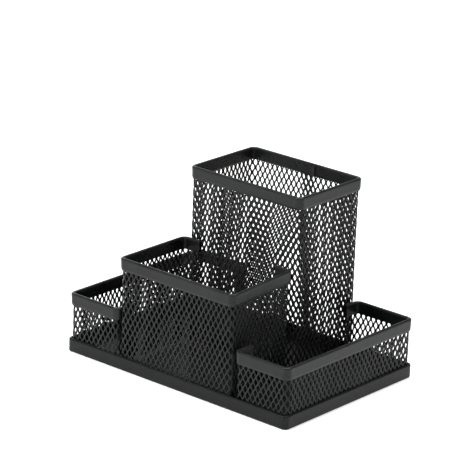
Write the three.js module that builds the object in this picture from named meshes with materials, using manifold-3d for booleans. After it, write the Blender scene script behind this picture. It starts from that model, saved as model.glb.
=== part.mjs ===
// Mesh desk organizer: a tall pen cup, a middle basket and two side trays on one base.
// Every wall is a bent sheet of expanded steel mesh, and a strip folded over its top edge is its rim.
// Millimetres, +Z up. The origin is the middle of the base's underside, +X is the long side
// and the tall cup stands at the back, towards +Y.

import * as THREE from 'three';
import { mergeVertices } from 'three/addons/utils/BufferGeometryUtils.js';
import Module from 'manifold-3d';

// Driving dimensions.
const BASE_LENGTH = 155;
const BASE_DEPTH = 105;
const BAND_HEIGHT = 7.6;
const BAND_CORNER_RADIUS = 3;
const BAND_SHEET = 0.6;
const BOTTOM_LIP_WIDTH = 5;
const FLOOR_SHEET = 0.6;

const TRAY_TOP = 33.6;
const BASKET_TOP = 62.9;
const CUP_TOP = 102.8;
const BASKET_LEFT = 41.2;
const BASKET_RIGHT = 39.7;
const BASKET_TOE_IN = 3.8;
const CUP_WIDTH = 77.4;
const CUP_DEPTH = 52.6;

const MESH_THICKNESS = 0.8;
const RIM_THICKNESS = 2.2;
const RIM_HEIGHT = 6.8;
const RIM_SHEET = 0.4;
const RIM_INSET = 0.5;
const WALL_BEND_RADIUS = 2.9;

const TRAY_FRONT_RETURN = 13;
const TRAY_BACK_RETURN = 11.5;
const BASKET_LEFT_RETURN = 12.8;
const BASKET_RIGHT_RETURN = 11;

const GAP = 0.3;
const BEND_STEPS = 6;
const CUT_OVERRUN = 1;

// Planes that the wall sheets' middle surfaces stand in.
const RIM_TO_WALL = RIM_THICKNESS / 2;
const RETURN_STEP = MESH_THICKNESS / 2 + GAP + RIM_TO_WALL;
const SIDE_X = BASE_LENGTH / 2 - RIM_INSET - RIM_TO_WALL;
const FRONT_Y = -(BASE_DEPTH / 2 - RIM_INSET - RIM_TO_WALL);
const BACK_Y = -FRONT_Y;
const CUP_X = CUP_WIDTH / 2 - RIM_TO_WALL;
const CUP_FRONT_Y = BACK_Y + RIM_THICKNESS - CUP_DEPTH;
const BASKET_LEFT_X = BASKET_LEFT - RIM_TO_WALL;
const BASKET_RIGHT_X = BASKET_RIGHT - RIM_TO_WALL;
const BASKET_BACK_RIGHT_X = BASKET_RIGHT_X - BASKET_TOE_IN;
const BASKET_BACK_Y = CUP_FRONT_Y - RETURN_STEP;
const TRAY_FRONT_RETURN_X = BASKET_LEFT_X + RETURN_STEP;
const TRAY_BACK_RETURN_X = CUP_X + RETURN_STEP;

const FLOOR_LOW = BAND_SHEET + GAP;
const FLOOR_TOP = FLOOR_LOW + FLOOR_SHEET;
const WALL_FOOT = FLOOR_TOP + GAP;

const wasm = await Module();
wasm.setup();

// Joining and cutting.

function toSolid(geometry) {
  const bare = geometry.clone();
  bare.deleteAttribute('normal');
  bare.deleteAttribute('uv');
  const merged = mergeVertices(bare, 1e-5);
  return new wasm.Manifold(new wasm.Mesh({
    numProp: 3,
    vertProperties: new Float32Array(merged.attributes.position.array),
    triVerts: new Uint32Array(merged.index.array),
  }));
}

function cutAway(body, ...tools) {
  const solid = tools.reduce((rest, tool) => rest.subtract(toSolid(tool)), toSolid(body));
  const mesh = solid.getMesh();
  const geometry = new THREE.BufferGeometry();
  geometry.setAttribute('position', new THREE.BufferAttribute(mesh.vertProperties, 3));
  geometry.setIndex(new THREE.BufferAttribute(mesh.triVerts, 1));
  geometry.computeVertexNormals();
  return geometry;
}

// A plan outline made into a solid between two heights.
function raise(shape, low, high) {
  const geometry = new THREE.ExtrudeGeometry(shape, { depth: high - low, steps: 1, bevelEnabled: false });
  return geometry.translate(0, 0, low);
}

// Plan outlines.

function leftOf(direction) {
  return new THREE.Vector2(-direction.y, direction.x);
}

// The points of one round bend, on a line that runs `offset` to the left of the bent sheet's middle.
function bendPoints(before, corner, after, offset) {
  const arriving = corner.clone().sub(before).normalize();
  const leaving = after.clone().sub(corner).normalize();
  const turn = Math.atan2(arriving.cross(leaving), arriving.dot(leaving));
  const side = leftOf(arriving);
  const signedRadius = WALL_BEND_RADIUS * Math.sign(turn);
  const setback = WALL_BEND_RADIUS * Math.tan(Math.abs(turn) / 2);
  const centre = corner.clone().addScaledVector(arriving, -setback).addScaledVector(side, signedRadius);
  return Array.from({ length: BEND_STEPS + 1 }, (_, step) => {
    const spoke = side.clone().rotateAround(new THREE.Vector2(), turn * step / BEND_STEPS);
    return centre.clone().addScaledVector(spoke, offset - signedRadius);
  });
}

// A wall's plan line, offset to the left. `wall.corners` are where its straight runs would meet.
function offsetLine(wall, offset) {
  const { corners, closed } = wall;
  const last = corners.length - 1;
  return corners.flatMap((corner, i) => {
    const before = corners[i === 0 ? last : i - 1];
    const after = corners[i === last ? 0 : i + 1];
    if (closed || (i > 0 && i < last)) return bendPoints(before, corner, after, offset);
    const run = i === 0 ? after.clone().sub(corner) : corner.clone().sub(before);
    return [corner.clone().addScaledVector(leftOf(run.normalize()), offset)];
  });
}

function wallSolid(wall, thickness, low, high) {
  const right = offsetLine(wall, -thickness / 2);
  const left = offsetLine(wall, thickness / 2);
  if (!wall.closed) return raise(new THREE.Shape([...right, ...left.reverse()]), low, high);
  const ring = new THREE.Shape(right);
  ring.holes.push(new THREE.Path(left));
  return raise(ring, low, high);
}

// The same wall with its two free ends drawn out, so that a cut along it runs right through.
function lengthened(wall) {
  if (wall.closed) return wall;
  const corners = wall.corners.map((corner) => corner.clone());
  const push = (end, next) => end.add(end.clone().sub(next).setLength(CUT_OVERRUN));
  push(corners[0], corners[1]);
  push(corners.at(-1), corners.at(-2));
  return { ...wall, corners };
}

function roundedRectangle(inset) {
  const x = BASE_LENGTH / 2 - inset;
  const y = BASE_DEPTH / 2 - inset;
  const radius = Math.max(BAND_CORNER_RADIUS - inset, BAND_SHEET);
  const shape = new THREE.Shape();
  shape.absarc(x - radius, y - radius, radius, 0, Math.PI / 2);
  shape.absarc(radius - x, y - radius, radius, Math.PI / 2, Math.PI);
  shape.absarc(radius - x, radius - y, radius, Math.PI, Math.PI * 1.5);
  shape.absarc(x - radius, radius - y, radius, Math.PI * 1.5, Math.PI * 2);
  return new THREE.Shape(shape.getPoints(BEND_STEPS).slice(0, -1));
}

// The walls' plan lines.

function planWall(name, closed, top, points) {
  return { name, closed, top, corners: points.map(([x, y]) => new THREE.Vector2(x, y)) };
}

const cup = planWall('tall_cup', true, CUP_TOP, [
  [-CUP_X, CUP_FRONT_Y],
  [CUP_X, CUP_FRONT_Y],
  [CUP_X, BACK_Y],
  [-CUP_X, BACK_Y],
]);

// The basket is open behind. Its two ends turn in along the cup's front. It reaches a
// little further left than right, and its right side runs inwards to the back.
const basket = planWall('middle_basket', false, BASKET_TOP, [
  [BASKET_LEFT_RETURN - BASKET_LEFT, BASKET_BACK_Y],
  [-BASKET_LEFT_X, BASKET_BACK_Y],
  [-BASKET_LEFT_X, FRONT_Y],
  [BASKET_RIGHT_X, FRONT_Y],
  [BASKET_BACK_RIGHT_X, BASKET_BACK_Y],
  [BASKET_BACK_RIGHT_X + RIM_TO_WALL - BASKET_RIGHT_RETURN, BASKET_BACK_Y],
]);

// A tray is open towards the middle. Its front end turns back beside the basket and its
// back end turns forward along the cup.
function trayWall(name, side) {
  const outline = [
    [TRAY_FRONT_RETURN_X, FRONT_Y - RIM_TO_WALL + TRAY_FRONT_RETURN],
    [TRAY_FRONT_RETURN_X, FRONT_Y],
    [SIDE_X, FRONT_Y],
    [SIDE_X, BACK_Y],
    [TRAY_BACK_RETURN_X, BACK_Y],
    [TRAY_BACK_RETURN_X, BACK_Y + RIM_TO_WALL - TRAY_BACK_RETURN],
  ];
  return planWall(name, false, TRAY_TOP, outline.map(([x, y]) => [side * x, y]));
}

const walls = [cup, basket, trayWall('left_tray', -1), trayWall('right_tray', 1)];

// The pieces.

function steel(colour, roughness) {
  return new THREE.MeshStandardMaterial({ color: colour, roughness, metalness: 0.3 });
}

function piece(name, geometry, material) {
  const mesh = new THREE.Mesh(geometry, material);
  mesh.name = name;
  return mesh;
}

// The sheet that everything in the organizer rests on, held on the band's bottom lip.
function baseFloor() {
  const sheet = raise(roundedRectangle(BAND_SHEET + GAP), FLOOR_LOW, FLOOR_TOP);
  return piece('base_floor', sheet, steel('#1c1d1f', 0.5));
}

// A strip folded into a channel that runs round the base: an upright face, a narrow lip at
// the top that meets the mesh, and a wider lip underneath that the organizer stands on.
function baseBand() {
  const topLipWidth = RIM_INSET + RIM_TO_WALL - MESH_THICKNESS / 2 - GAP;
  const channel = cutAway(
    raise(roundedRectangle(0), 0, BAND_HEIGHT),
    raise(roundedRectangle(BAND_SHEET), BAND_SHEET, BAND_HEIGHT - BAND_SHEET),
    raise(roundedRectangle(topLipWidth), BAND_SHEET * 2, BAND_HEIGHT + CUT_OVERRUN),
    raise(roundedRectangle(BOTTOM_LIP_WIDTH), -CUT_OVERRUN, BAND_SHEET * 2),
  );
  return piece('base_band', channel, steel('#3b3c3e', 0.45));
}

// The mesh sheet stands on the floor and ends inside the fold of its rim. It is solid
// here: its diamond holes are smaller than anything that the organizer holds.
function meshSheet(wall) {
  const top = wall.top - RIM_SHEET - GAP;
  const sheet = wallSolid(wall, MESH_THICKNESS, WALL_FOOT, top);
  return piece(`${wall.name}_mesh`, sheet, steel('#2a2b2d', 0.5));
}

// A strip folded over the top edge of the mesh, open underneath.
function foldedRim(wall) {
  const foot = wall.top - RIM_HEIGHT;
  const slotWidth = RIM_THICKNESS - 2 * RIM_SHEET;
  const rim = cutAway(
    wallSolid(wall, RIM_THICKNESS, foot, wall.top),
    wallSolid(lengthened(wall), slotWidth, foot - CUT_OVERRUN, wall.top - RIM_SHEET),
  );
  return piece(`${wall.name}_rim`, rim, steel('#3f4042', 0.42));
}

const organizer = new THREE.Group();
organizer.name = 'mesh_desk_organizer';
organizer.add(baseFloor(), baseBand());
for (const wall of walls) organizer.add(meshSheet(wall), foldedRim(wall));

export default organizer;
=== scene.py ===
"""Mesh desk organizer: the painted steel pieces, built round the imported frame.

Four walls of expanded steel mesh, four strips folded over their top edges, a band folded
round the base and the floor sheet that rests in it. Everything is in metres, in the frame's
own axes: +X along the front from left to right, +Y towards the tall cup, +Z up.
"""

import math

import bpy
import numpy as np
from bpy.props import FloatProperty, FloatVectorProperty, PointerProperty
from mathutils import Matrix, Vector


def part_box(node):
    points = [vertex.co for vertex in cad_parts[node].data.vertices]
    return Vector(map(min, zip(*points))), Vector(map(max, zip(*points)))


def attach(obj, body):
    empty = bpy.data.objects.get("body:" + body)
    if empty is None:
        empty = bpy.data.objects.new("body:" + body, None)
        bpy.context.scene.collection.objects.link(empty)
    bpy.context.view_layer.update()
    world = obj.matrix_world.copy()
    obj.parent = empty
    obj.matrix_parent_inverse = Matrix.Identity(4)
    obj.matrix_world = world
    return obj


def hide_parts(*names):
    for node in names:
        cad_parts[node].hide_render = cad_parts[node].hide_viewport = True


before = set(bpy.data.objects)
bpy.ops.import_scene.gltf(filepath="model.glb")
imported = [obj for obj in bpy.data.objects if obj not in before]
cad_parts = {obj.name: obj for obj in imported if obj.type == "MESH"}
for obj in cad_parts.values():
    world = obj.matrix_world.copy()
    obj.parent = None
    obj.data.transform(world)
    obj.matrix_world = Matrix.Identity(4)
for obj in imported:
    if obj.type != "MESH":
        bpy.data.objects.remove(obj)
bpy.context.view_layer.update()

bl_info = {
    "name": "Mesh Desk Organizer",
    "version": (1, 0, 0),
    "blender": (4, 5, 0),
    "location": "View3D > Sidebar > Organizer",
    "description": "Builds a desk organizer of expanded steel mesh with folded rims",
    "category": "Object",
}

MM = 0.001
BODY = "root"
SENSOR_WIDTH = 36.0


# ---------------------------------------------------------------------------------------
# Settings
# ---------------------------------------------------------------------------------------

def linear_colour(hex_code):
    """An sRGB hex colour as linear red, green and blue: each channel is divided by 12.92 near
    black, and elsewhere shifted by 0.055, scaled by 1.055 and raised to the power 2.4."""
    channels = np.array([int(hex_code[i:i + 2], 16) for i in (1, 3, 5)]) / 255
    curved = ((channels + 0.055) / 1.055) ** 2.4
    return tuple(float(c) for c in np.where(channels <= 0.04045, channels / 12.92, curved))


def length(name, description, millimetres, least=0.0):
    return FloatProperty(
        name=name, description=description, default=millimetres * MM, min=least * MM,
        unit="LENGTH", subtype="DISTANCE", precision=5)


def colour(name, description, hex_code):
    return FloatVectorProperty(
        name=name, description=description, default=linear_colour(hex_code),
        min=0.0, max=1.0, subtype="COLOR")


def angle(name, description, degrees):
    return FloatProperty(
        name=name, description=description, default=math.radians(degrees), subtype="ANGLE")


def amount(name, description, value, most=1.0):
    return FloatProperty(name=name, description=description, default=value, min=0.0, max=most)


class ExpandedMeshSettings(bpy.types.PropertyGroup):
    """The expanded steel sheet that the four walls are bent from."""

    diamond_width: length("Diamond width", "Spacing of the diamonds along the wall", 3.42, 1)
    diamond_height: length("Diamond height", "Spacing of the diamonds up the wall", 5.95, 1)
    hole_width: length("Hole width", "Clear width of one diamond hole", 1.9, 0.5)
    hole_height: length("Hole height", "Clear height of one diamond hole", 3.75, 0.5)
    hole_roundness: FloatProperty(
        name="Hole roundness", description="1 is a straight-sided diamond and 2 an ellipse",
        default=1.35, min=1.0, max=2.0)
    strand_thickness: length("Strand thickness", "Thickness along the middle of a strand", 0.5, 0.1)
    edge_thickness: length("Edge thickness", "Thickness of a strand at a hole's edge", 0.3, 0.05)
    strand_twist: length("Strand twist", "How far stretching turned a strand's edge in", 0.12)
    bulge: length("Bulge", "How far a bent sheet wanders off its plane", 0.3)
    drift: length("Drift", "How far a row of diamonds wanders up and down", 0.35)
    lap: length("Lap", "Length over which the cup sheet's two ends overlap", 10.2)
    lap_lift: length("Lap lift", "How far each end steps aside for the other", 0.33)


class FoldedStripSettings(bpy.types.PropertyGroup):
    """The steel strips: the rims on the walls and the band round the base."""

    rim_sheet: length("Rim sheet", "Thickness of the strip that a rim is folded from", 0.4, 0.1)
    rim_thickness: length("Rim thickness", "Width of a folded rim over both its legs", 2.2, 1)
    fold_radius: length("Fold radius", "Outside radius of a rim's two top folds", 1.05, 0.3)
    foot_pinch: length("Foot pinch", "How far a rim's lower edges are pressed inwards", 0.22)
    corner_swell: length("Corner swell", "How far a rim's face stands out round a bend", 0.3)
    bend_radius: length("Bend radius", "Radius of a wall's corners, at mid-sheet", 2.9, 1)
    ripple: length("Ripple", "Depth of the shallow waves that bending left in the strips", 0.12)
    seam_gap: length("Seam gap", "Gap where a closed strip's two ends meet", 0.2)
    seam_step: length("Seam step", "How far a rim's first end stands in over its last", 0.55)
    seam_x: length("Seam place", "Where the seam stands along the back", 7.0)
    band_sheet: length("Band sheet", "Thickness of the strip round the base", 0.6, 0.1)
    band_corner: length("Band corner", "Outside radius of the base's upright corners", 3.0, 1)
    band_fold: length("Band fold", "Outside radius of the band's two long folds", 0.9, 0.3)
    bottom_lip: length("Bottom lip", "Width of the lip that the organizer stands on", 5.0, 1)
    top_lip: length("Top lip", "Reach of the band's top edge in towards the mesh", 1.15, 0.5)
    front_return: length("Front return", "Length that a tray's front end turns back", 13.0, 1)
    back_return: length("Back return", "Length that a tray's back end turns forward", 11.5, 1)
    left_return: length("Left return", "Length that the basket's left end turns in", 12.8, 1)
    right_return: length("Right return", "Length that the basket's right end turns in", 11.0, 1)
    toe_in: length("Toe-in", "How far the basket's right side runs in at the back", 3.8)


class EnamelSettings(bpy.types.PropertyGroup):
    """The black baked enamel on every piece."""

    rim_colour: colour("Rim enamel", "Enamel on the rims", "#151617")
    # Painted shade: the band carries the same black enamel as the rims, but its colour is set darker for
    # the shade low down by the foot.
    band_colour_with_painted_shade: colour("Band enamel", "Enamel on the band", "#0f1011")
    mesh_colour: colour("Mesh enamel", "Enamel on the expanded mesh", "#111213")
    floor_colour: colour("Floor enamel", "Enamel on the floor sheet", "#101112")
    thin_colour: colour("Thin enamel", "Where it drew thin over a fold or an edge", "#2e2f31")
    roughness: amount("Roughness", "Roughness of the enamel where it levelled well", 0.26)
    rim_gloss: amount("Rim gloss", "Mirror strength of the film on the rims; 0.5 is bare resin", 0.24)
    band_gloss: amount("Band gloss", "Mirror strength of the film on the band and floor", 0.17)
    mesh_gloss: amount("Mesh gloss", "Mirror strength of the film on the mesh", 0.18)
    peel: length("Orange peel", "Spacing of the enamel's low waves", 1.4, 0.2)
    grain: length("Grain", "Spacing of the fine grain in the enamel", 0.35, 0.05)
    cloud: length("Cloud", "Spacing of the slow changes of tone and gloss", 11.0, 1)


class StudioSettings(bpy.types.PropertyGroup):
    """The camera, the lights and the pale table."""

    azimuth: angle("Azimuth", "Direction of the camera round the organizer", 40.494)
    elevation: angle("Elevation", "Height of the camera above the level", 19.209)
    roll: angle("Roll", "Tilt of the camera about its own axis", 1.983)
    distance: length("Distance", "From the camera to the point it aims at", 1456.1, 100)
    aim: FloatVectorProperty(
        name="Aim", description="The point that the camera looks at",
        default=(-3.4 * MM, -2.4 * MM, 72.8 * MM), unit="LENGTH", subtype="XYZ")
    lens: FloatProperty(
        name="Lens", description="Focal length in millimetres on a 36 mm sensor",
        default=210.89, min=10.0)
    table_colour: colour("Table", "Colour of the table", "#f7f7f7")
    table_glow: amount("Table glow", "Light that comes up through the table", 0.4, 10)
    horizon: amount("Horizon light", "Strength of the even light from low down all round", 0.5, 10)
    zenith: amount("Zenith light", "Strength of the even light from above", 0.15, 10)
    overhead: amount("Overhead softbox", "Its power in watts", 24.0, 1000)
    key: amount("Key softbox", "Power in watts of the one at the front left", 8.0, 1000)
    backdrop: amount("Backdrop softbox", "Power in watts of the one at the back left", 4.0, 1000)
    spark: amount("Spark light", "Power in watts of the small lamp behind", 1.5, 1000)


# ---------------------------------------------------------------------------------------
# Plan lines and surfaces
# ---------------------------------------------------------------------------------------

class PlanLine:
    """A line on plan, of straight runs joined by round bends, walked by its length.

    Every stretch keeps its start, its heading and its curvature. A length s into a stretch
    the heading is the first heading plus curvature times s. The point there is the start
    plus the heading summed over s: a straight line where the curvature is zero, and
    elsewhere an arc, whose sums are differences of sines and cosines over the curvature.
    """

    def __init__(self, corners, bend_radius):
        corners = [np.array(corner, float) for corner in corners]
        point = corners[0]
        stretches = []
        for i, corner in enumerate(corners[1:], start=1):
            run = corner - point
            heading = math.atan2(run[1], run[0])
            ahead = np.array([math.cos(heading), math.sin(heading)])
            turn = 0.0
            if i + 1 < len(corners):
                onward = corners[i + 1] - corner
                turn = math.atan2(run[0] * onward[1] - run[1] * onward[0], run @ onward)
            setback = bend_radius * math.tan(abs(turn) / 2)
            straight = np.hypot(*run) - setback
            stretches.append((point, heading, 0.0, straight))
            if turn:
                curvature = math.copysign(1 / bend_radius, turn)
                bend_start = point + ahead * straight
                stretches.append((bend_start, heading, curvature, bend_radius * abs(turn)))
                past = heading + turn
                point = corner + setback * np.array([math.cos(past), math.sin(past)])
        self.starts, self.headings, self.curvatures, self.lengths = (
            np.array(column) for column in zip(*stretches))
        self.marks = np.concatenate([[0.0], np.cumsum(self.lengths)])
        self.length = self.marks[-1]

    def stretch(self, distance):
        """The stretch that each distance falls in, and how far into it."""
        index = np.searchsorted(self.marks, distance, side="right") - 1
        index = np.clip(index, 0, len(self.lengths) - 1)
        return index, distance - self.marks[index]

    def at(self, distance):
        """The points at these distances, and the unit normals to the right of the heading."""
        index, along = self.stretch(distance)
        heading = self.headings[index]
        curvature = self.curvatures[index]
        bent = curvature != 0
        safe = np.where(bent, curvature, 1.0)
        now = heading + curvature * along
        east = np.where(bent, (np.sin(now) - np.sin(heading)) / safe, along * np.cos(heading))
        north = np.where(bent, (np.cos(heading) - np.cos(now)) / safe, along * np.sin(heading))
        points = self.starts[index] + np.stack([east, north], -1)
        normals = np.stack([np.sin(now), -np.cos(now)], -1)
        return points, normals

    def bend_share(self, distance):
        """0 on a straight run, and half a sine wave over each bend, 1 at its middle."""
        index, along = self.stretch(distance)
        share = np.sin(math.pi * along / self.lengths[index])
        return np.where(self.curvatures[index] != 0, share, 0.0)

    def stations(self, straight_step, bend_step):
        """Distances to put a section at: even steps within every run and every bend."""
        parts = []
        for mark, curvature, stretch in zip(self.marks, self.curvatures, self.lengths):
            step = bend_step if curvature else straight_step
            count = max(1, round(stretch / step))
            parts.append(mark + stretch * np.arange(count) / count)
        return np.concatenate(parts + [[self.length]])


def shallow_waves(distance, seed):
    """A smooth wander between -1 and 1: three sine waves of 47, 19 and 7.3 mm, whose phases
    come from the seed, added and divided by their summed weights."""
    # Each wave's length in millimetres, its weight and what the seed is multiplied by.
    waves = ((47, 1.0, 1.7), (19, 0.6, 2.9), (7.3, 0.25, 4.3))
    total = sum(
        weight * np.sin(2 * math.pi * distance / (wavelength * MM) + seed * shift)
        for wavelength, weight, shift in waves)
    return total / sum(weight for _, weight, _ in waves)


def eased(share):
    """0 below 0, 1 above 1, and three squares less two cubes of the share between."""
    share = np.clip(share, 0, 1)
    return share * share * (3 - 2 * share)


def fold_line(points, radii, steps):
    """A polyline with its corners rounded. The arc at a corner touches both sides at the
    radius times the tangent of half the turn, and its steps turn through equal angles."""
    points = [np.array(point, float) for point in points]
    line = [points[0]]
    for before, corner, after, radius in zip(points, points[1:], points[2:], radii):
        arriving = (corner - before) / np.hypot(*(corner - before))
        leaving = (after - corner) / np.hypot(*(after - corner))
        turn = math.atan2(arriving[0] * leaving[1] - arriving[1] * leaving[0], arriving @ leaving)
        start = corner - arriving * radius * math.tan(abs(turn) / 2)
        side = np.array([-arriving[1], arriving[0]]) * math.copysign(1, turn)
        turned = np.linspace(0, turn, steps + 1)[:, None]
        across = np.array([-side[1], side[0]])
        spokes = side * np.cos(turned) + across * np.sin(turned)
        line.extend(start + side * radius - radius * spokes)
    line.append(points[-1])
    return np.array(line)


def strip_section(middle, thickness):
    """The loop of points round a thin strip's section: its middle line moved half the
    thickness to the left, then back along it moved as far to the right. Each move goes
    along the average of the two neighbouring runs' normals, drawn out to keep the gap."""
    runs = np.diff(middle, axis=0)
    runs /= np.linalg.norm(runs, axis=1)[:, None]
    normals = np.stack([-runs[:, 1], runs[:, 0]], -1)
    before = np.vstack([normals[:1], normals])
    after = np.vstack([normals, normals[-1:]])
    mitre = before + after
    mitre *= thickness / 2 / np.sum(mitre * before, axis=1)[:, None]
    return np.vstack([middle + mitre, (middle - mitre)[::-1]])


def fold_share(middle):
    """For each point of the section's loop, how tightly the strip turns there: its turn
    over the sharpest turn, and 1 at the strip's two cut edges."""
    runs = np.diff(middle, axis=0)
    heading = np.unwrap(np.arctan2(runs[:, 1], runs[:, 0]))
    share = np.ones(len(middle))
    share[1:-1] = np.abs(np.diff(heading))
    share[1:-1] /= share[1:-1].max()
    return np.concatenate([share, share[::-1]])


def strip_faces(stations, loop):
    """Quads between neighbouring sections of a strip, each a closed loop of points, and a
    row of quads from one face of the sheet to the other across each cut end."""
    rows, columns = np.meshgrid(np.arange(stations - 1), np.arange(loop), indexing="ij")
    row, column = rows.ravel(), columns.ravel()
    here, after = row * loop, (column + 1) % loop
    sides = np.stack([here + column, here + after, here + loop + after, here + loop + column], -1)
    k = np.arange(loop // 2 - 1)
    first_end = np.stack([k, loop - 1 - k, loop - 2 - k, k + 1], -1)
    last_end = first_end[:, ::-1] + (stations - 1) * loop
    return np.concatenate([sides, first_end, last_end])


def enclosed_volume(vertices, quads):
    """The volume inside a closed surface of quads: a sixth of the summed triple products of
    the corners of each quad's two triangles."""
    a, b, c, d = (vertices[quads[:, i]] for i in range(4))
    return float(np.sum(np.cross(a, b) * c) + np.sum(np.cross(a, c) * d)) / 6


def new_piece(name, vertices, quads, material, sharp_degrees, **attributes):
    """A mesh object with its place in its mesh and its faces turned outwards."""
    if enclosed_volume(vertices, quads) < 0:
        quads = quads[:, ::-1]
    mesh = bpy.data.meshes.new(name)
    mesh.vertices.add(len(vertices))
    mesh.vertices.foreach_set("co", vertices.astype(np.float32).ravel())
    mesh.loops.add(quads.size)
    mesh.loops.foreach_set("vertex_index", quads.astype(np.int32).ravel())
    mesh.polygons.add(len(quads))
    mesh.polygons.foreach_set("loop_start", np.arange(0, quads.size, 4, dtype=np.int32))
    mesh.polygons.foreach_set("use_smooth", np.ones(len(quads), bool))
    mesh.update(calc_edges=True)
    mesh.set_sharp_from_angle(angle=math.radians(sharp_degrees))
    for attribute, values in attributes.items():
        layer = mesh.attributes.new(attribute, "FLOAT", "POINT")
        layer.data.foreach_set("value", values.astype(np.float32).ravel())
    if mesh.validate():
        raise RuntimeError(f"{name} has faulty faces")
    mesh.materials.append(material)
    piece = bpy.data.objects.new(name, mesh)
    bpy.context.scene.collection.objects.link(piece)
    return piece


def finish_piece(piece, node):
    """Put a piece on the body, and hide the CAD node whose place it takes."""
    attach(piece, BODY)
    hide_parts(node)


# ---------------------------------------------------------------------------------------
# Where the walls stand
# ---------------------------------------------------------------------------------------

def span(node):
    """A node's lowest and highest corners as two arrays."""
    low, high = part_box(node)
    return np.array(low), np.array(high)


def wall_corners(strips):
    """Each wall's corners on plan, at the middle of its sheet, anticlockwise from above.

    A rim's box, taken in by half the rim's thickness, is where the wall stands. A tray's
    front end stands that far off the left of the basket's mesh, plus the gap that the cup
    keeps from the tray's back end."""
    half = strips.rim_thickness / 2
    cup_low, cup_high = span("tall_cup_rim")
    basket_low, basket_high = span("middle_basket_rim")
    tray_low, tray_high = span("right_tray_rim")
    gap = tray_low[0] - span("tall_cup_mesh")[1][0]
    left, right = cup_low[0] + half, cup_high[0] - half
    front, back = tray_low[1] + half, tray_high[1] - half
    cup_front = cup_low[1] + half
    basket_left, basket_right = basket_low[0] + half, basket_high[0] - half
    basket_back_right = basket_right - strips.toe_in
    basket_back = basket_high[1] - half
    tray_x = tray_high[0] - half
    front_return_x = gap + half - span("middle_basket_mesh")[0][0]
    back_return_x = tray_low[0] + half
    right_tray = [
        (front_return_x, tray_low[1] + strips.front_return),
        (front_return_x, front),
        (tray_x, front),
        (tray_x, back),
        (back_return_x, back),
        (back_return_x, tray_high[1] - strips.back_return),
    ]
    return {
        "tall_cup": [(left, back), (left, cup_front), (right, cup_front), (right, back)],
        "middle_basket": [
            (basket_low[0] + strips.left_return, basket_back),
            (basket_left, basket_back),
            (basket_left, front),
            (basket_right, front),
            (basket_back_right, basket_back),
            (basket_back_right + half - strips.right_return, basket_back),
        ],
        "left_tray": [(-x, y) for x, y in reversed(right_tray)],
        "right_tray": right_tray,
    }


# ---------------------------------------------------------------------------------------
# Expanded mesh
# ---------------------------------------------------------------------------------------

def diamond_rings(side_steps, roundness):
    """A diamond's two rings, both anticlockwise from the right-hand corner: the rhombus where
    |u| + |v| is side_steps, in whole steps, and the hole's edge where |u|^p + |v|^p is 1,
    with p the roundness. The hole's points are a circle's, each coordinate raised to 2 / p."""
    step = np.arange(4 * side_steps)
    compass = np.array([(1, 0), (0, 1), (-1, 0), (0, -1)])
    quarter, part = step // side_steps, (step % side_steps)[:, None]
    rhombus = compass[quarter] * (side_steps - part) + compass[(quarter + 1) % 4] * part
    around = 2 * math.pi * step / len(step)
    circle = np.stack([np.cos(around), np.sin(around)], -1)
    return rhombus, np.sign(circle) * np.abs(circle) ** (2 / roundness)


def strand_faces(shared, count):
    """Quads over the strands, for vertices in this order: the shared outer points of the
    front and of the back, count of each, then the holes' edges of the front and of the back.
    Three quads go across each step of a ring: front face, hole's edge and back face."""
    inner_front = 2 * count + np.arange(shared.size).reshape(shared.shape)
    loops = [shared, inner_front, inner_front + shared.size, shared + count]
    quads = [
        np.stack([near, np.roll(near, -1, 1), np.roll(far, -1, 1), far], -1).reshape(-1, 4)
        for near, far in zip(loops, loops[1:])]

    # A side of a rhombus that is used once is on the sheet's edge.
    side_a, side_b = shared.ravel(), np.roll(shared, -1, 1).ravel()
    side_key = np.minimum(side_a, side_b) * np.int64(count) + np.maximum(side_a, side_b)
    _, which, uses = np.unique(side_key, return_inverse=True, return_counts=True)
    lone = uses[which.ravel()] == 1
    a, b = side_a[lone], side_b[lone]
    quads.append(np.stack([b, a, a + count, b + count], -1))
    return np.concatenate(quads)


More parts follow.
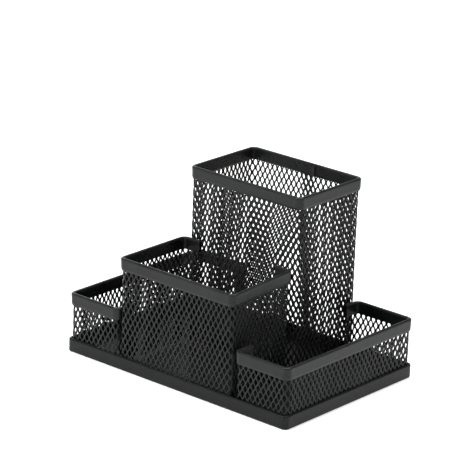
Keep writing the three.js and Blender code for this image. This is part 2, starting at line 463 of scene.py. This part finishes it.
def expanded_sheet(line, foot, top, look, seed, lapped):
    """The strands of a sheet of expanded steel, bent along a plan line.

    The sheet is a lattice of upright diamonds: diamond (i, j), with i + j even, has its
    centre i half widths along the line and j half heights up. Its outer ring is the rhombus
    where |u| + |v| = 1 in half widths and half heights. That is the middle of the strands
    round it, so neighbours share those points. Its inner ring is the hole's edge, where
    |u|^p + |v|^p = 1 in half holes. The sheet is thick along the outer ring and thin at the
    inner one, and each strand is turned about its length by moving the inner ring in on its
    right and out on its left. Where a rhombus has no neighbour, its side is closed.

    Half way up, the sheet bulges and its rows drift by shallow waves, which fade out to
    the foot and the top as half a sine wave. Where its ends lap, one steps out and the
    other in, eased over a length.
    """
    side_steps = 3
    lap_ease = 8 * MM
    drift_seed = seed + 3
    columns = round(line.length / look.diamond_width)
    half_width = line.length / (2 * columns)
    half_height = look.diamond_height / 2
    rows = int((top - foot) / half_height)
    i, j = np.meshgrid(np.arange(1, 2 * columns), np.arange(1, rows), indexing="ij")
    kept = (i + j) % 2 == 0
    i, j = i[kept][:, None], j[kept][:, None]

    # The shared outer points, each known by its whole-number place on the lattice.
    rhombus, hole = diamond_rings(side_steps, look.hole_roundness)
    row_key = side_steps * (rows + 1)
    places = (side_steps * i + rhombus[:, 0]) * row_key + side_steps * j + rhombus[:, 1]
    keys, shared = np.unique(places, return_inverse=True)
    shared = shared.reshape(places.shape)
    count = len(keys)
    shared_u = (keys // row_key) * half_width / side_steps
    shared_v = (keys % row_key) * half_height / side_steps

    inner_u = (i * half_width + hole[:, 0] * look.hole_width / 2).ravel()
    inner_v = (j * half_height + hole[:, 1] * look.hole_height / 2).ravel()
    twist = np.tile(-look.strand_twist * hole[:, 0], len(i))
    thick, thin = look.strand_thickness / 2, look.edge_thickness / 2

    # Along the line, up from the foot and out of the sheet's plane.
    u = np.concatenate([shared_u, shared_u, inner_u, inner_u])
    v = np.concatenate([shared_v, shared_v, inner_v, inner_v])
    w = np.concatenate([np.full(count, thick), np.full(count, -thick), twist + thin, twist - thin])
    crown = np.repeat([1.0, 0.0], [2 * count, 2 * inner_u.size])

    rise = np.sin(math.pi * np.clip(v / (top - foot), 0, 1))
    w += rise * look.bulge * shallow_waves(u, seed)
    v += rise * look.drift * shallow_waves(u, drift_seed)
    if lapped:
        starting = eased((look.lap + lap_ease - u) / lap_ease)
        ending = eased((look.lap + lap_ease - (line.length - u)) / lap_ease)
        w += look.lap_lift * (starting - ending)
    points, normals = line.at(u)
    vertices = np.column_stack([points + normals * w[:, None], foot + v])
    return vertices, strand_faces(shared, count), crown


# ---------------------------------------------------------------------------------------
# Folded strips
# ---------------------------------------------------------------------------------------

def rim_profile(strips, height):
    """The middle line of a rim's section, as across and up from its lower edge: up one leg,
    over two round folds and down the other leg, whose lower edge is pressed inwards."""
    reach = (strips.rim_thickness - strips.rim_sheet) / 2
    crest = height - strips.rim_sheet / 2
    fold, foot_bend = strips.fold_radius - strips.rim_sheet / 2, 2 * MM
    press_height = 1.1 * MM
    fold_steps, leg_steps = 6, 4
    half = fold_line(
        [(0, crest), (reach, crest), (reach, press_height), (reach - strips.foot_pinch, 0)],
        (fold, foot_bend), fold_steps)
    # The long flat leg between the fold and the foot's bend gets points of its own, for its waves.
    leg_start, leg_end = fold_steps + 1, fold_steps + 2
    leg = np.linspace(half[leg_start], half[leg_end], leg_steps + 1)[1:-1]
    half = np.vstack([half[:leg_end], leg, half[leg_end:]])
    return np.vstack([(half * (-1, 1))[::-1], half[1:]])


def folded_rim(line, strips, foot, height, seed, seamed):
    """A rim's section carried along a plan line and closed at both ends.

    At each station the section stands square to the line. Its legs are drawn in by a
    shallow wave that is strongest half way up the face. Round a bend the outer face swells
    out with the square root of the height, and the fold gathers: its crown sinks with the
    sixth power of the height, and the inner leg puckers in cosine pleats. At a seam the
    first end's inner leg stands further in, eased over a length.
    """
    straight_step, bend_step = 1.8 * MM, 0.35 * MM
    leg_blend = 0.3 * MM
    inner_seed = seed + 5
    pleat_pitch = 1.5 * MM
    step_ease = 3 * MM
    crown_sink = 1.5 * strips.ripple
    least_sink = 0.35
    middle = rim_profile(strips, height)
    loop = strip_section(middle, strips.rim_sheet)
    distance = line.stations(straight_step, bend_step)
    points, normals = line.at(distance)
    shape = len(distance), len(loop)
    across = np.broadcast_to(loop[:, 0], shape).copy()
    up = np.broadcast_to(loop[:, 1], shape).copy()

    level = np.clip(up / height, 0, 1)
    face = np.sin(math.pi * level)
    side = np.tanh(across / leg_blend)
    outer, inner = np.clip(side, 0, 1), np.clip(-side, 0, 1)
    wander = 0.5 + 0.5 * shallow_waves(distance[:, None], np.where(side > 0, seed, inner_seed))
    bend = line.bend_share(distance)[:, None]
    pleats = 0.5 - 0.5 * np.cos(2 * math.pi * distance / pleat_pitch)[:, None]
    across -= side * face * wander * strips.ripple
    across += bend * outer * level ** 0.5 * strips.corner_swell
    across += bend * inner * face * pleats * strips.ripple
    up -= bend * level ** 6 * (least_sink + (1 - least_sink) * pleats) * crown_sink
    if seamed:
        across -= inner * strips.seam_step * eased(1 - distance / step_ease)[:, None]

    plan = points[:, None, :] + normals[:, None, :] * across[..., None]
    vertices = np.concatenate([plan, foot + up[..., None]], -1).reshape(-1, 3)
    fold = np.broadcast_to(fold_share(middle), shape)
    return vertices, strip_faces(*shape), fold


def folded_band(strips, low, high):
    """The band's channel section carried round the base, open at one seam in the back.

    Every point of the section goes round a rectangle set in by its own offset, whose
    corners keep the outside radius less that offset, and never less than 0.3 mm. The walk
    starts and ends at the seam: along a side it runs straight, and at a corner it turns
    through equal angles. A shallow wave draws the face in, most half way up."""
    fold_steps, corner_steps, last_side_steps = 7, 10, 34
    # Each corner's side of the base, the angle its bend starts at, and the steps along the side before it.
    corners = (
        ((-1, 1), 90, 40),
        ((-1, -1), 180, 50),
        ((1, -1), 270, 70),
        ((1, 1), 0, 50),
    )
    least_radius = 0.3 * MM
    seed = 9
    size, height = (high - low)[:2], high[2] - low[2]
    half = strips.band_sheet / 2
    fold = strips.band_fold - half
    middle = fold_line(
        [(strips.bottom_lip, half), (half, half), (half, height - half),
         (strips.top_lip, height - half)],
        (fold, fold), fold_steps)
    loop = strip_section(middle, strips.band_sheet)
    offset, level = loop[:, 0], loop[:, 1] / height
    inset = size / 2 - offset[:, None]
    radius = np.maximum(strips.band_corner - offset, least_radius)[:, None]

    def at_seam(side):
        x = np.full_like(offset, strips.seam_x + side * strips.seam_gap / 2)
        return np.stack([x, inset[:, 1]], -1)

    def run(start, end, count):
        share = (np.arange(1, count) / count)[:, None, None]
        return start + (end - start) * share

    rings, outwards = [at_seam(-1)[None]], [np.array([[0.0, 1.0]])]
    for side, first_angle, count in corners:
        angles = np.radians(first_angle + 90 * np.arange(corner_steps + 1) / corner_steps)
        spokes = np.stack([np.cos(angles), np.sin(angles)], -1)
        arc = side * (inset - radius) + spokes[:, None, :] * radius
        rings += [run(rings[-1][-1], arc[0], count), arc]
        outwards += [np.repeat(spokes[:1], count - 1, 0), spokes]
    rings += [run(rings[-1][-1], at_seam(1), last_side_steps), at_seam(1)[None]]
    outwards.append(np.repeat(spokes[-1:], last_side_steps, 0))
    plan, outwards = np.concatenate(rings), np.concatenate(outwards)

    steps = np.linalg.norm(np.diff(plan[:, 0], axis=0), axis=1)
    distance = np.concatenate([[0.0], np.cumsum(steps)])
    wander = 0.5 + 0.5 * shallow_waves(distance, seed)
    face = np.sin(math.pi * np.clip(level, 0, 1)) * (offset < strips.band_fold)
    plan = plan - outwards[:, None, :] * (wander[:, None] * face * strips.ripple)[..., None]
    up = np.broadcast_to(low[2] + loop[:, 1], plan.shape[:2])
    vertices = np.concatenate([plan, up[..., None]], -1).reshape(-1, 3)
    fold = np.broadcast_to(fold_share(middle), up.shape)
    return vertices, strip_faces(*up.shape), fold


# ---------------------------------------------------------------------------------------
# Materials
# ---------------------------------------------------------------------------------------

def add_node(tree, kind, links=None, **settings):
    """One node with its settings and links. A setting named in_3 or in_From_Min is the own
    value of input 3 or From Min, and any other is a property of the node."""
    node = tree.nodes.new(kind)
    for key, value in settings.items():
        if not key.startswith("in_"):
            setattr(node, key, value)
    for key, value in settings.items():
        if key.startswith("in_"):
            socket = key[3:].replace("_", " ")
            node.inputs[int(socket) if socket.isdigit() else socket].default_value = value
    for socket, source in (links or {}).items():
        tree.links.new(source, node.inputs[socket])
    return node


def baked_enamel(name, tint, gloss, look, edge_attribute, edge_amount, wave_depth):
    """Black baked enamel over cold-rolled steel, dipped or sprayed and stoved.

    It is a dielectric film of IOR 1.5, dark and smooth, so it shows soft, dull mirror
    images of the studio. It has the low waves called orange peel, a grain of dust nibs,
    slow changes of tone and gloss, and a thinner, greyer and rougher film along folds, cut
    edges and the crests of the mesh. The nibs are drawn coarser than real ones, which would
    be too fine to see."""
    noise_low, noise_high = 0.3, 0.7
    darkest, lightest = 0.65, 1.4
    smoother, rougher, edge_rougher = 0.04, 0.08, 0.25
    nib_share = 0.25
    material = bpy.data.materials.new(name)
    material.use_nodes = True
    tree = material.node_tree
    tree.nodes.clear()
    place = add_node(tree, "ShaderNodeTexCoord").outputs["Object"]

    def noise(spacing, detail):
        return add_node(
            tree, "ShaderNodeTexNoise", {"Vector": place},
            in_Scale=1 / spacing, in_Detail=detail, in_Roughness=0.5).outputs["Fac"]

    peel, grain, cloud = noise(look.peel, 1.5), noise(look.grain, 2.0), noise(look.cloud, 3.0)
    edge = add_node(tree, "ShaderNodeAttribute", attribute_name=edge_attribute).outputs["Fac"]
    patchy = add_node(tree, "ShaderNodeMath", {0: edge, 1: grain}, operation="MULTIPLY")
    worn = add_node(
        tree, "ShaderNodeMath", {0: patchy.outputs[0]}, operation="MULTIPLY", in_1=edge_amount)
    tone = add_node(
        tree, "ShaderNodeMapRange", {"Value": cloud},
        in_From_Min=noise_low, in_From_Max=noise_high, in_To_Min=darkest, in_To_Max=lightest)
    film = add_node(
        tree, "ShaderNodeVectorMath", {1: tone.outputs["Result"]}, operation="MULTIPLY", in_0=tint)
    mixed = add_node(
        tree, "ShaderNodeMix", {"Factor": worn.outputs[0], 6: film.outputs[0]},
        data_type="RGBA", in_7=(*look.thin_colour, 1))
    levelled = add_node(
        tree, "ShaderNodeMapRange", {"Value": cloud},
        in_From_Min=noise_low, in_From_Max=noise_high,
        in_To_Min=look.roughness - smoother, in_To_Max=look.roughness + rougher)
    rough = add_node(
        tree, "ShaderNodeMath", {0: worn.outputs[0], 2: levelled.outputs["Result"]},
        operation="MULTIPLY_ADD", in_1=edge_rougher)
    waves = add_node(
        tree, "ShaderNodeBump", {"Height": peel}, in_Strength=1.0, in_Distance=wave_depth)
    nibs = add_node(
        tree, "ShaderNodeBump", {"Height": grain, "Normal": waves.outputs[0]},
        in_Strength=1.0, in_Distance=wave_depth * nib_share)
    paint = add_node(
        tree, "ShaderNodeBsdfPrincipled",
        {"Base Color": mixed.outputs[2], "Roughness": rough.outputs[0], "Normal": nibs.outputs[0]},
        in_IOR=1.5, in_Metallic=0.0, in_Specular_IOR_Level=gloss)
    add_node(tree, "ShaderNodeOutputMaterial", {"Surface": paint.outputs[0]})
    return material


# ---------------------------------------------------------------------------------------
# Operators
# ---------------------------------------------------------------------------------------

class ORGANIZER_OT_mesh_walls(bpy.types.Operator):
    """Build the four walls of expanded steel mesh."""

    bl_idname = "organizer.mesh_walls"
    bl_label = "Mesh Walls"
    bl_options = {"REGISTER", "UNDO"}

    def execute(self, context):
        look = context.scene.organizer_mesh
        strips = context.scene.organizer_strips
        enamel = context.scene.organizer_enamel
        paint = baked_enamel(
            "baked_enamel_expanded_steel", enamel.mesh_colour, enamel.mesh_gloss,
            enamel, "crown", edge_amount=0.3, wave_depth=0.015 * MM)
        for seed, (wall, corners) in enumerate(wall_corners(strips).items(), start=1):
            low, high = span(f"{wall}_mesh")
            lapped = wall == "tall_cup"
            if lapped:
                back = corners[0][1]
                corners = [(strips.seam_x, back), *corners, (strips.seam_x - look.lap, back)]
            line = PlanLine(corners, strips.bend_radius)
            vertices, quads, crown = expanded_sheet(line, low[2], high[2], look, seed, lapped)
            piece = new_piece(
                f"{wall}_expanded_mesh", vertices, quads, paint, sharp_degrees=75, crown=crown)
            finish_piece(piece, f"{wall}_mesh")
        return {"FINISHED"}


class ORGANIZER_OT_rims(bpy.types.Operator):
    """Build the four strips folded over the walls' top edges."""

    bl_idname = "organizer.rims"
    bl_label = "Folded Rims"
    bl_options = {"REGISTER", "UNDO"}

    def execute(self, context):
        strips = context.scene.organizer_strips
        enamel = context.scene.organizer_enamel
        paint = baked_enamel(
            "baked_enamel_rim_strip", enamel.rim_colour, enamel.rim_gloss,
            enamel, "fold", edge_amount=0.3, wave_depth=0.02 * MM)
        for seed, (wall, corners) in enumerate(wall_corners(strips).items(), start=1):
            low, high = span(f"{wall}_rim")
            seamed = wall == "tall_cup"
            if seamed:
                back = corners[0][1]
                gap = strips.seam_gap / 2
                corners = [(strips.seam_x - gap, back), *corners, (strips.seam_x + gap, back)]
            line = PlanLine(corners, strips.bend_radius)
            height = high[2] - low[2]
            vertices, quads, fold = folded_rim(line, strips, low[2], height, seed, seamed)
            piece = new_piece(
                f"{wall}_folded_rim", vertices, quads, paint, sharp_degrees=50, fold=fold)
            finish_piece(piece, f"{wall}_rim")
        return {"FINISHED"}


class ORGANIZER_OT_base_band(bpy.types.Operator):
    """Build the band folded round the base."""

    bl_idname = "organizer.base_band"
    bl_label = "Base Band"
    bl_options = {"REGISTER", "UNDO"}

    def execute(self, context):
        enamel = context.scene.organizer_enamel
        # The band's colour is painted shade: the same enamel as the rims, set darker for the low band.
        paint = baked_enamel(
            "baked_enamel_band_strip", enamel.band_colour_with_painted_shade, enamel.band_gloss,
            enamel, "fold", edge_amount=0.3, wave_depth=0.02 * MM)
        vertices, quads, fold = folded_band(context.scene.organizer_strips, *span("base_band"))
        piece = new_piece(
            "base_folded_band", vertices, quads, paint, sharp_degrees=50, fold=fold)
        finish_piece(piece, "base_band")
        return {"FINISHED"}


class ORGANIZER_OT_floor_sheet(bpy.types.Operator):
    """Give the floor sheet its enamel. It has no folds, so its film is even."""

    bl_idname = "organizer.floor_sheet"
    bl_label = "Floor Sheet"
    bl_options = {"REGISTER", "UNDO"}

    def execute(self, context):
        enamel = context.scene.organizer_enamel
        paint = baked_enamel(
            "baked_enamel_floor_sheet", enamel.floor_colour, enamel.band_gloss,
            enamel, "fold", edge_amount=0.0, wave_depth=0.02 * MM)
        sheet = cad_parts["base_floor"]
        sheet.data.materials.clear()
        sheet.data.materials.append(paint)
        return {"FINISHED"}


def light_table(studio):
    """A square sheet of opal acrylic with light coming up through it: matt and white, with
    hardly a shadow. It is a little lower than the organizer's foot, so no faces coincide."""
    reach, drop = 4.0, 0.05 * MM
    corners = [(x * reach, y * reach, -drop) for x, y in ((-1, -1), (1, -1), (1, 1), (-1, 1))]
    mesh = bpy.data.meshes.new("table")
    mesh.from_pydata(corners, [], [(0, 1, 2, 3)])
    acrylic = bpy.data.materials.new("white_acrylic_light_table")
    acrylic.use_nodes = True
    surface = acrylic.node_tree.nodes["Principled BSDF"]
    surface.inputs["Base Color"].default_value = (*studio.table_colour, 1)
    surface.inputs["Roughness"].default_value = 0.9
    surface.inputs["Emission Color"].default_value = (1, 1, 1, 1)
    surface.inputs["Emission Strength"].default_value = studio.table_glow
    mesh.materials.append(acrylic)
    table = bpy.data.objects.new("table", mesh)
    bpy.context.scene.collection.objects.link(table)
    return table


def studio_walls(studio):
    """Even light from all round: pale up to one height, and growing dark up to the next."""
    pale_top, dark_bottom = math.radians(20), math.radians(37)
    world = bpy.data.worlds.new("studio_walls")
    world.use_nodes = True
    sky = world.node_tree
    direction = add_node(sky, "ShaderNodeTexCoord").outputs["Generated"]
    height = add_node(sky, "ShaderNodeSeparateXYZ", {0: direction}).outputs["Z"]
    strength = add_node(
        sky, "ShaderNodeMapRange", {"Value": height},
        in_From_Min=math.sin(pale_top), in_From_Max=math.sin(dark_bottom),
        in_To_Min=studio.horizon, in_To_Max=studio.zenith)
    fill = sky.nodes["Background"]
    fill.inputs["Color"].default_value = (1, 1, 1, 1)
    sky.links.new(strength.outputs["Result"], fill.inputs["Strength"])
    return world


def soft_light(name, size, power, place):
    """A square area light at a place, turned to the middle of the organizer's foot."""
    light = bpy.data.lights.new(name, "AREA")
    light.size = size
    light.energy = power
    lamp = bpy.data.objects.new(name, light)
    lamp.location = place
    lamp.rotation_euler = (-lamp.location).to_track_quat("-Z", "Y").to_euler()
    bpy.context.scene.collection.objects.link(lamp)


def aimed_camera(studio):
    """The camera, at its distance from the point it aims at. Its azimuth turns it from the
    front to the right, and its roll tilts it about its own axis."""
    lens = bpy.data.cameras.new("camera")
    lens.sensor_width = SENSOR_WIDTH
    lens.lens = studio.lens
    lens.clip_start, lens.clip_end = 0.05, 20.0
    azimuth, elevation, roll = studio.azimuth, studio.elevation, studio.roll
    level = math.cos(elevation)
    back = Vector((math.sin(azimuth) * level, -math.cos(azimuth) * level, math.sin(elevation)))
    right = Vector((math.cos(azimuth), math.sin(azimuth), 0))
    up = back.cross(right)
    across = right * math.cos(roll) + up * math.sin(roll)
    upward = up * math.cos(roll) - right * math.sin(roll)
    turn = Matrix((across, upward, back)).transposed().to_4x4()
    camera = bpy.data.objects.new("camera", lens)
    bpy.context.scene.collection.objects.link(camera)
    camera.matrix_world = Matrix.Translation(Vector(studio.aim) + back * studio.distance) @ turn
    return camera


class ORGANIZER_OT_studio(bpy.types.Operator):
    """Set up the table, the lights and the camera."""

    bl_idname = "organizer.studio"
    bl_label = "Studio"
    bl_options = {"REGISTER", "UNDO"}

    def execute(self, context):
        scene = context.scene
        studio = scene.organizer_studio
        table = light_table(studio)
        scene.world = studio_walls(studio)
        soft_light("overhead_softbox", size=1.3, power=studio.overhead, place=(0.1, 0.2, 1.5))
        soft_light("key_softbox", size=0.4, power=studio.key, place=(-0.35, -0.75, 0.9))
        soft_light("backdrop_softbox", size=0.7, power=studio.backdrop, place=(-1.35, 0.94, 0.73))
        soft_light("spark_light", size=0.12, power=studio.spark, place=(-0.35, 0.6, 1.1))
        scene.camera = aimed_camera(studio)
        scene.view_settings.view_transform = "Standard"
        return {"FINISHED"}


class ORGANIZER_PT_panel(bpy.types.Panel):
    """The organizer's settings and the buttons that build it."""

    bl_label = "Mesh Desk Organizer"
    bl_space_type = "VIEW_3D"
    bl_region_type = "UI"
    bl_category = "Organizer"

    def draw(self, context):
        for name, settings in SETTINGS.items():
            group = getattr(context.scene, name)
            box = self.layout.box()
            for key in settings.__annotations__:
                box.prop(group, key)
        for operator in OPERATORS:
            self.layout.operator(operator.bl_idname)


SETTINGS = {
    "organizer_mesh": ExpandedMeshSettings,
    "organizer_strips": FoldedStripSettings,
    "organizer_enamel": EnamelSettings,
    "organizer_studio": StudioSettings,
}
OPERATORS = (
    ORGANIZER_OT_mesh_walls,
    ORGANIZER_OT_rims,
    ORGANIZER_OT_base_band,
    ORGANIZER_OT_floor_sheet,
    ORGANIZER_OT_studio,
)


def register():
    for cls in (*SETTINGS.values(), *OPERATORS, ORGANIZER_PT_panel):
        bpy.utils.register_class(cls)
    for name, settings in SETTINGS.items():
        setattr(bpy.types.Scene, name, PointerProperty(type=settings))


def unregister():
    for name in SETTINGS:
        delattr(bpy.types.Scene, name)
    for cls in (ORGANIZER_PT_panel, *reversed(OPERATORS), *reversed(SETTINGS.values())):
        bpy.utils.unregister_class(cls)


def main():
    register()
    bpy.ops.organizer.mesh_walls()
    bpy.ops.organizer.rims()
    bpy.ops.organizer.base_band()
    bpy.ops.organizer.floor_sheet()
    bpy.ops.organizer.studio()


if __name__ == "__main__":
    main()
